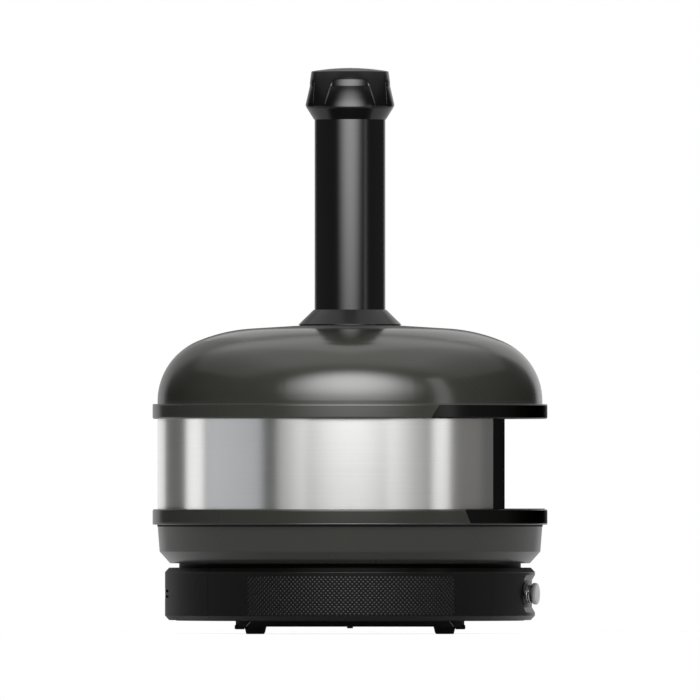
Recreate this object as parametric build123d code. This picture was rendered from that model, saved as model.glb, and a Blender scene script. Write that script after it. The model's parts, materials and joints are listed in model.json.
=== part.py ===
from build123d import *
import os
from math import acos, cos, degrees, hypot, radians, sin, tan

# Outdoor gas pizza oven with a tall flue. Millimetres, +Z up, +X towards the mouth, left is -Y.
# Heights are measured from the floor, radii from the upright axis of the oven.

# Driving dimensions of the body
BODY_R = 276.2
RIM_R = 283.3
RIM_INNER_R = 268.0
LEDGE_R = 256.0
LEDGE_T = 3.4
RIM_FILLET = 2.5
RIM_FACETS = 4
BASE_R = 265.5
NECK_R = 245.2
FLUE_R = 50.8
SHEET_T = 1.5

# Heights of the stack
PLATE_Z = 10.5
BASE_Z = 18.7
BASE_TOP_Z = 94.7
BOWL_Z = 101.0
LOW_RIM_Z = 156.6
SILL_Z = 178.5
LINTEL_Z = 308.1
DOME_Z = 329.2
FLUE_TOP_Z = 752.0
CAP_TOP_Z = 811.9

# Dome outline: an upright edge, a tight shoulder, a wide haunch and a nearly flat crown
SHOULDER_R = 93.0
SHOULDER_C = (BODY_R - SHOULDER_R, 333.8)
SHOULDER_ANGLE = 67.0
HAUNCH_R = 237.0
HAUNCH_C = (
    SHOULDER_C[0] - (HAUNCH_R - SHOULDER_R) * cos(radians(SHOULDER_ANGLE)),
    SHOULDER_C[1] - (HAUNCH_R - SHOULDER_R) * sin(radians(SHOULDER_ANGLE)),
)
CROWN_ANGLE = 86.5
CROWN_SEAT_R = 76.0
SHELL_T = 2.0
LINER_INSET = 35.0
INSULATION_GAP = 0.5
INSULATION_FOOT_Z = 340.0

# Mouth
BAND_ANGLE = 42.2
BAND_T = 1.2
GROOVE_D = 2.0
GROOVE_GAP = 0.3
MOUTH_HALF_Y = 165.3
JAMB_FLANGE_ANGLE = 47.5
LINER_CLEARANCE = 0.5
LINTEL_SEAM = (116.2, 0.616)
SILL_SEAM = (173.6, -0.393)
SEAM_GAP = 0.5
SOFFIT_T = 3.0
LANDING_H = 1.0
LANDING_R = (236.0, 279.5)

# Hearth
PAN_T = 3.0
PAN_Z = LOW_RIM_Z + LEDGE_T
STONE_R = 203.0
STONE_T = SILL_Z - PAN_Z - PAN_T
STONE_GAP = 0.8
STONE_CHAMFER = 1.5

# Burners, one along each side of the stone
BURNER_R = 221.5
BURNER_TUBE_R = 7.0
BURNER_BORE_R = 5.6
BURNER_Z = PAN_Z + PAN_T + BURNER_TUBE_R + 0.2
BURNER_START = 52.0
BURNER_SWEEP = 113.0
BURNER_END_PLATE = 0.5
PORT_R = 1.2
PORTS = 18
FEED_R = 5.0
FEED_BORE_R = 3.8
FEED_BEND_R = 12.0
FEED_SWEEP_R = 150.0
FEED_HOLE_R = 8.0
ELECTRODE_ANGLE = 57.0
ELECTRODE_CIRCLE_R = 208.7
ELECTRODE_R = 3.0
ELECTRODE_HOLE_R = 3.6
ELECTRODE_FOOT_Z = 120.0
ELECTRODE_TOP_Z = 176.0
SPARK_R = 1.0
SPARK_TOP_Z = 185.0

# Base
PANEL_T = 3.0
PANEL_CHAMFER = (5.8, 6.4)
PANEL_LIP_R = 250.0
PANEL_FOOT_Z = 19.5
PANEL_SEAM_ANGLE = 40.0
PANEL_SEAM_HALF = 0.06
PAN_FLANGE_T = 2.0
DECK_FLANGE_T = 2.5
BASE_FLANGE_R = 257.0
LIP_GAP = 0.4
NECK_INNER_R = 228.0

# Control recess, knobs and valves; depths run outward from the recess floor
KNOB_ANGLE = 16.5
KNOB_Z = 57.3
RECESS_R = 261.2
RECESS_HALF = 19.6
RECESS_MOUTH_HALF = 26.9
BOSS_R = 257.3
BOSS_ANGLE = 26.0
BEZEL_R = 16.5
BEZEL_BORE_R = 11.5
BEZEL_SEAT = -0.6
BEZEL_FACE = 2.2
KNOB_HOLE_R = 11.7
SKIRT_R = 11.1
SKIRT_SPAN = (0.5, 8.0)
HUB_R = 8.6
CAP_SPAN = (10.8, 18.9)
KNOB_CAP_R = 15.3
KNOB_CAP_FILLET = 3.0
KNOB_SOCKET = 4.4
STEM_R = 4.0
STEM_END = -28.0
STEM_FIT = 0.1
SEAT_R = 8.5
SEAT_SPAN = (-13.5, -11.0)
VALVE_SPAN = (-50.2, -18.0)
VALVE_WIDTH = 24.0
VALVE_HEIGHT = 26.0
VALVE_BORE_R = 4.3
VALVE_BORE_END = -34.0

# Gas line
RAIL_X = 188.0
RAIL_HALF_Y = 76.0
RAIL_R = 8.0
SUPPLY_R = 6.0
STUB_R = 5.0
INLET_BACK_R = 232.5
INLET_FACE_R = 262.0
INLET_BODY_R = 10.0
INLET_FLANGE_R = 17.0
INLET_FLANGE_SPAN = (255.5, 260.5)
INLET_BORE_R = 5.9
INLET_BORE_L = 14.0
INLET_HOLE_R = 12.0
VENT_ANGLES = (6.0, 11.3)
VENT_HEIGHT = 3.4
VENT_PITCH = 8.0

# Flue and cap
SPIGOT_R = 48.6
SPIGOT_FLANGE_R = 70.0
SPIGOT_TOP_Z = 486.0
CROWN_HOLE_R = 49.0
FLUE_FLANGE_R = 58.0
GASKET_T = 1.1
GASKET_R = 72.5
COLLAR_R = 73.6
COLLAR_TOP_R = 52.3
COLLAR_EDGE = 1.0
COLLAR_H = 21.9
FIT_GAP = 0.3
COLLAR_SCREW_CIRCLE_R = 65.5
CAP_FOOT_Z = 738.5
CAP_FOOT_R = 52.2
CAP_WIDE_R = 64.6
CAP_WIDE_Z = (757.4, 759.6)
CAP_BREAK_R = 56.8
CAP_BREAK_Z = 793.7
CAP_EDGE_R = 55.1
CAP_EDGE_Z = 807.2
CAP_EDGE = 1.2
CAP_WALL = 4.0
CAP_FLAT_R = 3.0
GRIP_FLOOR = ((56.4, 794.4), (57.2, 786.0), (63.4, 760.4))
GRIP_HALF = (24.4, 38.5)
GRIPS = 4
SLEEVE_R = 48.7
SLEEVE_FOOT_Z = 728.0
CAP_LEDGE_T = 4.7
SLEEVE_FLANGE_R = 51.8

# Underside
PLATE_HALF = 163.6
PLATE_CORNER = 28.0
FOOT_PLACE = 135.5
FOOT_TOP_R = 15.6
FOOT_LOW_R = 13.3
FOOT_BORE_R = 2.7
FOOT_SINK_R = 5.4
FOOT_SINK_H = 5.0
CLIP_WIDTH = 24.0
CLIP_T = 1.5
CLIP_INNER_X = (150.9, 151.7)
CLIP_Z = (6.7, 7.9, 11.5, 13.0)

# Fasteners
ROD_R = 3.0
ROD_HOLE_R = 3.3
NUT_R = 5.5
NUT_H = 5.0
ROD_CIRCLE_R = 262.0
ROD_ANGLES = (75, 110, 145, 215, 250, 285)
NECK_BOLT_CIRCLE_R = 236.5
NECK_BOLTS = 6
SCREW_R = 2.0
SCREW_HOLE_R = 2.2
SCREW_HEAD_R = 3.8
SCREW_HEAD_H = 2.6
PLATE_BOLT_HEAD_R = 4.3
PLATE_BOLT_HEAD_H = 2.9

SIDES = {"left": -1, "right": 1}


def polar(radius, angle, z=0.0):
    return (radius * cos(radians(angle)), radius * sin(radians(angle)), z)


def turned(face, start=0.0, sweep=360.0):
    """Turn a face drawn as (radius, height) about the upright axis."""
    return Rot(0, 0, start) * revolve(Plane.XZ * face, Axis.Z, sweep)


def ring(inner, outer, low, high, start=0.0, sweep=360.0):
    return turned(make_face(Polyline((inner, low), (outer, low), (outer, high), (inner, high), close=True)),
                  start, sweep)


def profile(*points, start=0.0, sweep=360.0):
    return turned(make_face(Polyline(*points, close=True)), start, sweep)


def rod(radius, low, high, x=0.0, y=0.0):
    return Pos(x, y, low) * Cylinder(radius, high - low, align=(Align.CENTER, Align.CENTER, Align.MIN))


def rods(radius, low, high, circle, angles):
    return [rod(radius, low, high, *polar(circle, angle)[:2]) for angle in angles]


def spindle(*points):
    """Turn a face drawn as (depth, radius) about the X axis."""
    return revolve(make_face(Polyline(*points, close=True)), Axis.X)


def tube_x(radius, start, end, bore=0.0):
    return spindle((start, bore), (start, radius), (end, radius), (end, bore))


def on_base(shape, angle):
    """Put a knob or valve piece drawn along X on the floor of the control recess."""
    return Rot(0, 0, angle) * Pos(RECESS_R, 0, KNOB_Z) * shape


def front_of(seam, low, high, shift=0.0):
    """All that lies in front of a slanted seam plane, as a block."""
    x, lean = seam
    far = 2 * RIM_R
    outline = Polyline((x + shift - lean * far, low - far), (far * 2, low - far),
                       (far * 2, low + far), (x + shift + lean * far, low + far), close=True)
    block = extrude(Plane.XZ * make_face(outline), far, both=True)
    return block & Pos(0, 0, (low + high) / 2) * Box(4 * far, 4 * far, high - low + far)


def dome_line(inset):
    """Edges of the dome outline, moved inward by an inset, from its upright edge to the flat crown seat."""
    shoulder = CenterArc(SHOULDER_C, SHOULDER_R - inset, 0, SHOULDER_ANGLE)
    haunch = CenterArc(HAUNCH_C, HAUNCH_R - inset, SHOULDER_ANGLE, CROWN_ANGLE - SHOULDER_ANGLE)
    top = haunch @ 1
    seat = (CROWN_SEAT_R, top.Y + (top.X - CROWN_SEAT_R) * tan(radians(90 - CROWN_ANGLE)))
    return [shoulder, haunch, Line(top, seat)], shoulder @ 0, seat


def dome_layer(outer_inset, inner_inset, hole_r, foot):
    """A layer of the dome between two insets; foot lists the points that close it below."""
    outer, outer_start, outer_seat = dome_line(outer_inset)
    inner, inner_start, inner_seat = dome_line(inner_inset)
    crown = Polyline(outer_seat, (hole_r, outer_seat[1]), (hole_r, inner_seat[1]), inner_seat)
    skirt = Polyline(inner_start, *foot, outer_start)
    return turned(make_face(outer + inner + list(crown.edges()) + list(skirt.edges())))


CROWN_Z = dome_line(0)[2][1]
CROWN_UNDER_Z = dome_line(SHELL_T)[2][1]
LINER_CROWN_Z = dome_line(LINER_INSET)[2][1]
LINER_R = BODY_R - LINER_INSET


def dome_shell():
    inner = BODY_R - SHELL_T
    foot = [(inner, DOME_Z + SHELL_T), (LEDGE_R, DOME_Z + SHELL_T), (LEDGE_R, DOME_Z), (BODY_R, DOME_Z)]
    shell = dome_layer(0, SHELL_T, CROWN_HOLE_R, foot)
    shell -= rods(ROD_HOLE_R, DOME_Z - 1, DOME_Z + 2 * SHELL_T, ROD_CIRCLE_R, ROD_ANGLES)
    return shell - rods(SCREW_HOLE_R, CROWN_Z - 2 * SHELL_T, CROWN_Z + 1, COLLAR_SCREW_CIRCLE_R, range(0, 360, 90))


def inner_dome():
    foot_z = PAN_Z + PAN_T
    liner = dome_layer(LINER_INSET, LINER_INSET + SHEET_T, CROWN_HOLE_R,
                       [(LINER_R - SHEET_T, foot_z), (LINER_R, foot_z)])
    mouth = Pos(LINER_R, 0, (foot_z + LINTEL_Z) / 2) * Box(
        LINER_R * 2 - 20, 2 * (MOUTH_HALF_Y + LINER_CLEARANCE), LINTEL_Z - foot_z)
    return liner - mouth


def dome_insulation():
    outer_inset = SHELL_T + INSULATION_GAP
    inner_inset = LINER_INSET - INSULATION_GAP
    layer = dome_layer(outer_inset, inner_inset, SPIGOT_FLANGE_R + 2, [])
    return layer - rod(BODY_R, SHOULDER_C[1] - 1, INSULATION_FOOT_Z)


def wall_insulation():
    wall = ring(LINER_R + INSULATION_GAP, BODY_R - BAND_T - INSULATION_GAP, SILL_Z, LINTEL_Z,
                JAMB_FLANGE_ANGLE + 0.5, 360 - 2 * (JAMB_FLANGE_ANGLE + 0.5))
    return wall - rods(ROD_HOLE_R, SILL_Z - 1, LINTEL_Z + 1, ROD_CIRCLE_R, ROD_ANGLES)


def rim_face(low, high):
    """Points of a rim's outer face from low to high, with both edges rounded in narrow facets."""
    steps = [radians(90 / RIM_FACETS * n) for n in range(RIM_FACETS + 1)]
    centre_r = RIM_R - RIM_FILLET
    foot = [(centre_r + RIM_FILLET * sin(a), low + RIM_FILLET * (1 - cos(a))) for a in steps]
    return foot + [(r, low + high - z) for r, z in reversed(foot)]


def band_groove(low, high):
    return ring(BODY_R - BAND_T - GROOVE_GAP, BODY_R + GROOVE_GAP, low, high,
                BAND_ANGLE - GROOVE_GAP, 360 - 2 * (BAND_ANGLE - GROOVE_GAP))


def upper_ring():
    ledge_z = DOME_Z - LEDGE_T
    shape = profile((RIM_INNER_R, LINTEL_Z), *rim_face(LINTEL_Z, DOME_Z), (LEDGE_R, DOME_Z),
                    (LEDGE_R, ledge_z), (RIM_INNER_R, ledge_z))
    return shape - band_groove(LINTEL_Z, LINTEL_Z + GROOVE_D)


def lower_ring():
    shape = profile((LEDGE_R, LOW_RIM_Z), *rim_face(LOW_RIM_Z, SILL_Z), (RIM_INNER_R, SILL_Z),
                    (RIM_INNER_R, PAN_Z), (LEDGE_R, PAN_Z))
    return shape - band_groove(SILL_Z - GROOVE_D, SILL_Z)


def upper_rim():
    rim = upper_ring() - front_of(LINTEL_SEAM, LINTEL_Z, DOME_Z, -SEAM_GAP)
    return rim - rods(ROD_HOLE_R, LINTEL_Z, DOME_Z + 1, ROD_CIRCLE_R, ROD_ANGLES)


def mouth_lintel():
    soffit = ring(LINER_R + LINER_CLEARANCE, RIM_INNER_R + 1, LINTEL_Z, LINTEL_Z + SOFFIT_T,
                  -JAMB_FLANGE_ANGLE, 2 * JAMB_FLANGE_ANGLE)
    return (upper_ring() & front_of(LINTEL_SEAM, LINTEL_Z, DOME_Z)) + soffit


def lower_rim():
    rim = lower_ring() - front_of(SILL_SEAM, LOW_RIM_Z, SILL_Z, -SEAM_GAP)
    return rim - rods(ROD_HOLE_R, LOW_RIM_Z - 1, PAN_Z + 1, ROD_CIRCLE_R, ROD_ANGLES)


def mouth_sill():
    between = Pos(RIM_R, 0, SILL_Z) * Box(2 * RIM_R, 2 * (MOUTH_HALF_Y - 2), 4 * SOFFIT_T)
    plate = ring(STONE_R + STONE_GAP, RIM_INNER_R + 1, SILL_Z - SOFFIT_T, SILL_Z) & between
    landing = ring(*LANDING_R, SILL_Z, SILL_Z + LANDING_H) & between
    return (lower_ring() & front_of(SILL_SEAM, LOW_RIM_Z, SILL_Z)) + plate + landing


def steel_band():
    return ring(BODY_R - BAND_T, BODY_R, SILL_Z - GROOVE_D, LINTEL_Z + GROOVE_D,
                BAND_ANGLE, 360 - 2 * BAND_ANGLE)


def jamb(side):
    """Black post at one end of the band: a face strip, and a flange that reaches in behind the band."""
    strip_r = BODY_R - BAND_T - 2 * GROOVE_GAP
    flange = ring(LINER_R + LINER_CLEARANCE, strip_r, SILL_Z, LINTEL_Z, 30, JAMB_FLANGE_ANGLE - 30)
    strip = ring(strip_r - 1, BODY_R, SILL_Z, LINTEL_Z, 30, BAND_ANGLE - GROOVE_GAP - 30)
    beyond = Pos(0, MOUTH_HALF_Y + RIM_R, SILL_Z) * Box(4 * RIM_R, 2 * RIM_R, 4 * RIM_R)
    post = (flange + strip) & beyond
    return post if side > 0 else mirror(post, Plane.XZ)


def lower_bowl():
    outer = [(0, BOWL_Z), (258.3, BOWL_Z), (273.2, 117.8), (BODY_R, LOW_RIM_Z)]
    inner = [(BODY_R - SHELL_T, LOW_RIM_Z), (271.2, 118.6), (257.4, BOWL_Z + SHELL_T), (0, BOWL_Z + SHELL_T)]
    bowl = profile(*outer, *inner) - neck_bolt_holes()
    return bowl - feed_holes(BOWL_Z - 1, BOWL_Z + 2 * SHELL_T)


def feed_holes(low, high):
    return rods(FEED_HOLE_R, low, high, BURNER_R, (-KNOB_ANGLE, KNOB_ANGLE))


def electrode_holes(low, high):
    return rods(ELECTRODE_HOLE_R, low, high, ELECTRODE_CIRCLE_R, (-ELECTRODE_ANGLE, ELECTRODE_ANGLE))


def neck_bolt_angles():
    return [360 / NECK_BOLTS * (n + 0.5) for n in range(NECK_BOLTS)]


def neck_bolt_holes():
    return rods(ROD_HOLE_R, BASE_TOP_Z - 10, BOWL_Z + 2 * SHELL_T, NECK_BOLT_CIRCLE_R, neck_bolt_angles())


def hearth_pan():
    pan = rod(RIM_INNER_R - FIT_GAP, PAN_Z, PAN_Z + PAN_T)
    pan -= rods(ROD_HOLE_R, PAN_Z - 1, PAN_Z + PAN_T + 1, ROD_CIRCLE_R, ROD_ANGLES)
    return pan - feed_holes(PAN_Z - 1, PAN_Z + 5) - electrode_holes(PAN_Z - 1, PAN_Z + 5)


def hearth_insulation():
    block = rod(LEDGE_R - 6, BOWL_Z + SHELL_T, PAN_Z)
    return block - feed_holes(BOWL_Z, PAN_Z + 1) - electrode_holes(BOWL_Z, PAN_Z + 1)


def stone_half(side):
    low = PAN_Z + PAN_T
    disc = chamfer(rod(STONE_R, low, SILL_Z).edges().group_by(Axis.Z)[-1], STONE_CHAMFER)
    half = Pos(0, RIM_R + STONE_GAP / 2, low) * Box(2 * RIM_R, 2 * RIM_R, 4 * STONE_T)
    stone = disc & half
    return stone if side > 0 else mirror(stone, Plane.XZ)


def burner(side):
    def tube(bore, start, sweep):
        return turned(Pos(BURNER_R, BURNER_Z) * (Circle(BURNER_TUBE_R) - Circle(bore)), start, sweep)

    end = BURNER_START + BURNER_SWEEP
    body = tube(BURNER_BORE_R, BURNER_START, BURNER_SWEEP)
    body += tube(FEED_BORE_R, BURNER_START, BURNER_END_PLATE)
    body += turned(Pos(BURNER_R, BURNER_Z) * Circle(BURNER_TUBE_R), end - BURNER_END_PLATE, BURNER_END_PLATE)
    step = BURNER_SWEEP / (PORTS + 1)
    angles = [BURNER_START + step * (n + 1) for n in range(PORTS)]
    body -= rods(PORT_R, BURNER_Z, BURNER_Z + 2 * BURNER_TUBE_R, BURNER_R, angles)
    return body if side > 0 else mirror(body, Plane.XZ)


def burner_feed(side):
    half_turn = (BURNER_START - KNOB_ANGLE) / 2
    corner_r = BURNER_R / cos(radians(half_turn))
    foot = polar(BURNER_R, KNOB_ANGLE, KNOB_Z + VALVE_HEIGHT / 2)
    path = FilletPolyline(foot, polar(BURNER_R, KNOB_ANGLE, BURNER_Z),
                          polar(corner_r, KNOB_ANGLE + half_turn, BURNER_Z),
                          polar(BURNER_R, BURNER_START, BURNER_Z), radius=[FEED_BEND_R, FEED_SWEEP_R])
    pipe = sweep(Plane(origin=foot) * (Circle(FEED_R) - Circle(FEED_BORE_R)), path=path)
    return pipe if side > 0 else mirror(pipe, Plane.XZ)


def electrode(side):
    """Ceramic rod with a wire that bends over to the burner."""
    x, y = polar(ELECTRODE_CIRCLE_R, side * ELECTRODE_ANGLE)[:2]
    body = rod(ELECTRODE_R, ELECTRODE_FOOT_Z, ELECTRODE_TOP_Z, x, y)
    wire = rod(SPARK_R, ELECTRODE_TOP_Z - 1, SPARK_TOP_Z, x, y)
    tip = Pos(ELECTRODE_CIRCLE_R, 0, SPARK_TOP_Z - SPARK_R) * tube_x(SPARK_R, 0, BURNER_R - ELECTRODE_CIRCLE_R)
    return body + wire + Rot(0, 0, side * ELECTRODE_ANGLE) * tip


def flue_spigot():
    tube = ring(SPIGOT_R - SHEET_T, SPIGOT_R, LINER_CROWN_Z - 4, SPIGOT_TOP_Z)
    return tube + ring(SPIGOT_R - 1, SPIGOT_FLANGE_R, LINER_CROWN_Z, LINER_CROWN_Z + SHEET_T)


def flue_tube():
    tube = ring(FLUE_R - SHEET_T, FLUE_R, CROWN_Z, FLUE_TOP_Z)
    return tube + ring(FLUE_R - 1, FLUE_FLANGE_R, CROWN_Z, CROWN_Z + GASKET_T)


def collar_gasket():
    gasket = ring(FLUE_FLANGE_R + FIT_GAP, GASKET_R, CROWN_Z, CROWN_Z + GASKET_T)
    return gasket - rods(SCREW_HOLE_R, CROWN_Z - 1, CROWN_Z + 5, COLLAR_SCREW_CIRCLE_R, range(0, 360, 90))


def flue_collar():
    low = CROWN_Z + GASKET_T
    high = low + COLLAR_H
    bore = FLUE_R + FIT_GAP
    collar = profile((bore, low), (COLLAR_R, low), (COLLAR_R, low + COLLAR_EDGE), (COLLAR_TOP_R, high), (bore, high))
    return collar - rods(SCREW_HOLE_R, low - 1, low + 7, COLLAR_SCREW_CIRCLE_R, range(0, 360, 90))


def collar_screws():
    seat = CROWN_UNDER_Z
    shanks = rods(SCREW_R, seat, CROWN_Z + GASKET_T + 6, COLLAR_SCREW_CIRCLE_R, range(0, 360, 90))
    heads = rods(SCREW_HEAD_R, seat - SCREW_HEAD_H, seat, COLLAR_SCREW_CIRCLE_R, range(0, 360, 90))
    return Compound([shank + head for shank, head in zip(shanks, heads)])


def chimney_cap():
    """Flared cover with a domed top, a socket over the flue and a finger grip sunk in each quarter."""
    bore = FLUE_R + FIT_GAP
    ledge_z = FLUE_TOP_Z + FIT_GAP
    ledge_top = ledge_z + CAP_LEDGE_T
    hollow_r = CAP_EDGE_R - CAP_WALL
    roof_z = CAP_EDGE_Z - CAP_WALL
    edge_r = CAP_EDGE_R - CAP_EDGE
    rise = CAP_TOP_Z - CAP_EDGE_Z
    crown_z = CAP_EDGE_Z + rise / 2 - (edge_r ** 2 - CAP_FLAT_R ** 2) / (2 * rise)
    crown_r = hypot(edge_r, CAP_EDGE_Z - crown_z)
    start, end = degrees(acos(edge_r / crown_r)), degrees(acos(CAP_FLAT_R / crown_r))
    crown = CenterArc((0, crown_z), crown_r, start, end - start)
    wall = Polyline((CAP_FLAT_R, CAP_TOP_Z), (0, CAP_TOP_Z), (0, roof_z), (hollow_r - 6, roof_z), (hollow_r, roof_z - 6),
                    (SLEEVE_FLANGE_R + 0.4, ledge_top + 6), (SLEEVE_FLANGE_R + 0.4, ledge_top),
                    (SLEEVE_R + FIT_GAP, ledge_top), (SLEEVE_R + FIT_GAP, ledge_z), (bore, ledge_z),
                    (bore, CAP_FOOT_Z), (CAP_FOOT_R, CAP_FOOT_Z), (CAP_WIDE_R - 1.1, CAP_WIDE_Z[0]),
                    (CAP_WIDE_R, CAP_WIDE_Z[1]), (CAP_BREAK_R, CAP_BREAK_Z), (CAP_EDGE_R, CAP_EDGE_Z - CAP_EDGE),
                    (edge_r, CAP_EDGE_Z))
    cap = turned(make_face([crown] + list(wall.edges())))
    high, middle, low = GRIP_FLOOR
    far = 2 * CAP_WIDE_R
    sunk = profile(high, middle, low, (far, low[1]), (far, high[1]))
    outline = Polyline((-GRIP_HALF[0], high[1]), (GRIP_HALF[0], high[1]),
                       (GRIP_HALF[1], low[1]), (-GRIP_HALF[1], low[1]), close=True)
    window = extrude(Plane.YZ * make_face(outline), far)
    grip = sunk & window
    return cap - [Rot(0, 0, 360 / GRIPS * n) * grip for n in range(GRIPS)]


def cap_sleeve():
    flange_z = FLUE_TOP_Z + FIT_GAP + CAP_LEDGE_T
    tube = ring(SLEEVE_R - SHEET_T, SLEEVE_R, SLEEVE_FOOT_Z, flange_z + SHEET_T)
    return tube + ring(SLEEVE_R - 1, SLEEVE_FLANGE_R, flange_z, flange_z + SHEET_T)


def neck_ring():
    return ring(NECK_INNER_R, NECK_R, BASE_TOP_Z, BOWL_Z) - neck_bolt_holes()


def base_panel(start, sweep):
    """Channel with chamfered edges and lips turned in at the top and the foot."""
    slope_r, slope_z = PANEL_CHAMFER
    low, high = PANEL_FOOT_Z, BASE_TOP_Z
    inner_r = BASE_R - PANEL_T
    turn_in = PANEL_T * 0.4
    outer = [(PANEL_LIP_R, low), (BASE_R - slope_r, low), (BASE_R, low + slope_z), (BASE_R, high - slope_z),
             (BASE_R - slope_r, high), (PANEL_LIP_R + 2, high)]
    inner = [(PANEL_LIP_R + 2, high - PANEL_T), (BASE_R - slope_r - turn_in, high - PANEL_T),
             (inner_r, high - slope_z - turn_in), (inner_r, low + slope_z + turn_in),
             (BASE_R - slope_r - turn_in, low + PANEL_T), (PANEL_LIP_R, low + PANEL_T)]
    return profile(*outer, *inner, start=start + PANEL_SEAM_HALF, sweep=sweep - 2 * PANEL_SEAM_HALF)


def front_panel():
    """Front of the base, with a long recess that has round ends, and a knob hole at each end."""
    panel = base_panel(-PANEL_SEAM_ANGLE, 2 * PANEL_SEAM_ANGLE)
    panel += ring(BOSS_R, BASE_R - PANEL_T / 2, KNOB_Z - 31, KNOB_Z + 30, -BOSS_ANGLE, 2 * BOSS_ANGLE)
    depth = BASE_R - RECESS_R
    slope = (RECESS_MOUTH_HALF - RECESS_HALF) / depth
    reach = depth + 3
    wide = RECESS_HALF + slope * reach
    far = RECESS_R + reach
    panel -= profile((RECESS_R, KNOB_Z - RECESS_HALF), (far, KNOB_Z - wide), (far, KNOB_Z + wide),
                     (RECESS_R, KNOB_Z + RECESS_HALF), start=-KNOB_ANGLE, sweep=2 * KNOB_ANGLE)
    for angle in (-KNOB_ANGLE, KNOB_ANGLE):
        panel -= on_base(spindle((0, 0), (0, RECESS_HALF), (reach, wide), (reach, 0)), angle)
        panel -= on_base(tube_x(BEZEL_R + FIT_GAP, BEZEL_SEAT, reach), angle)
        panel -= on_base(tube_x(KNOB_HOLE_R, BOSS_R - RECESS_R - 3, reach), angle)
    return panel


def rear_panel():
    panel = base_panel(180 - PANEL_SEAM_ANGLE, 2 * PANEL_SEAM_ANGLE)
    panel -= Rot(0, 0, 180) * Pos(0, 0, KNOB_Z) * tube_x(INLET_HOLE_R, BASE_R - 3 * PANEL_T, BASE_R + 1)
    start, end = VENT_ANGLES
    for row in (-0.5, 0.5):
        z = KNOB_Z + row * VENT_PITCH
        for angle in (180 + start, 180 - end):
            panel -= ring(BASE_R - 2 * PANEL_T, BASE_R + 1, z - VENT_HEIGHT / 2, z + VENT_HEIGHT / 2,
                          angle, end - start)
    return panel


def grip_panel(side):
    return base_panel(side * 90 - (90 - PANEL_SEAM_ANGLE), 2 * (90 - PANEL_SEAM_ANGLE))


def base_pan():
    lip_top = PANEL_FOOT_Z + PANEL_T
    pan = rod(PANEL_LIP_R - LIP_GAP, BASE_Z, lip_top) + rod(BASE_FLANGE_R, lip_top, lip_top + PAN_FLANGE_T)
    return pan - rod(ROD_HOLE_R, BASE_Z - 1, lip_top + 2 * PAN_FLANGE_T)


def base_deck():
    lip = BASE_TOP_Z - PANEL_T
    deck = rod(PANEL_LIP_R + 2 - LIP_GAP, lip, BASE_TOP_Z) + rod(BASE_FLANGE_R, lip - DECK_FLANGE_T, lip)
    return deck - neck_bolt_holes() - feed_holes(lip - 5, BASE_TOP_Z + 1)


def neck_bolts():
    seat = BASE_TOP_Z - PANEL_T - DECK_FLANGE_T
    shanks = rods(ROD_R, seat, BOWL_Z + SHELL_T, NECK_BOLT_CIRCLE_R, neck_bolt_angles())
    heads = rods(NUT_R, seat - NUT_H, seat, NECK_BOLT_CIRCLE_R, neck_bolt_angles())
    return Compound([shank + head for shank, head in zip(shanks, heads)])


def tie_rods():
    top = DOME_Z + SHELL_T
    shanks = rods(ROD_R, LOW_RIM_Z - NUT_H, top + NUT_H, ROD_CIRCLE_R, ROD_ANGLES)
    low_nuts = rods(NUT_R, LOW_RIM_Z - NUT_H, LOW_RIM_Z, ROD_CIRCLE_R, ROD_ANGLES)
    high_nuts = rods(NUT_R, top, top + NUT_H, ROD_CIRCLE_R, ROD_ANGLES)
    return Compound([shank + low + high for shank, low, high in zip(shanks, low_nuts, high_nuts)])


def knob_bezel(side):
    edge = 0.8
    piece = spindle((BEZEL_SEAT, BEZEL_BORE_R), (BEZEL_SEAT, BEZEL_R), (BEZEL_FACE - edge, BEZEL_R),
                    (BEZEL_FACE, BEZEL_R - edge), (BEZEL_FACE, BEZEL_BORE_R))
    return on_base(piece, side * KNOB_ANGLE)


def knob_skirt(side):
    start, end = SKIRT_SPAN
    bore = STEM_R + STEM_FIT
    edge = 0.5
    piece = spindle((start, bore), (start, SKIRT_R), (end - edge, SKIRT_R), (end, SKIRT_R - edge), (end, bore))
    return on_base(piece, side * KNOB_ANGLE)


def knob_cap(side):
    start, end = CAP_SPAN
    bore = STEM_R + STEM_FIT
    edge = 0.7
    socket = start + KNOB_SOCKET
    piece = spindle((start, bore), (start, KNOB_CAP_R - edge), (start + edge, KNOB_CAP_R), (end, KNOB_CAP_R),
                    (end, 0), (socket, 0), (socket, bore))
    piece = fillet(piece.edges().group_by(Axis.X)[-1], KNOB_CAP_FILLET)
    return on_base(piece, side * KNOB_ANGLE)


def valve_stem(side):
    """Shaft from the valve to the knob cap, with the dark hub that shows between skirt and cap."""
    hub_start, hub_end = SKIRT_SPAN[1], CAP_SPAN[0]
    tip = hub_end + KNOB_SOCKET - 0.2
    piece = spindle((STEM_END, 0), (STEM_END, STEM_R), (hub_start, STEM_R), (hub_start, HUB_R), (hub_end, HUB_R),
                    (hub_end, STEM_R), (tip, STEM_R), (tip, 0))
    return on_base(piece, side * KNOB_ANGLE)


def spring_seat(side):
    return on_base(tube_x(SEAT_R, *SEAT_SPAN, bore=STEM_R + STEM_FIT), side * KNOB_ANGLE)


def gas_valve(side):
    start, end = VALVE_SPAN
    body = Pos((start + end) / 2, 0, 0) * Box(end - start, VALVE_WIDTH, VALVE_HEIGHT)
    body = fillet(body.edges().filter_by(Axis.X), 3)
    outlet = Pos(BURNER_R - RECESS_R, 0, 0) * rod(FEED_BORE_R, 0, VALVE_HEIGHT)
    return on_base(body - tube_x(VALVE_BORE_R, VALVE_BORE_END, end + 1) - outlet, side * KNOB_ANGLE)


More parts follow.
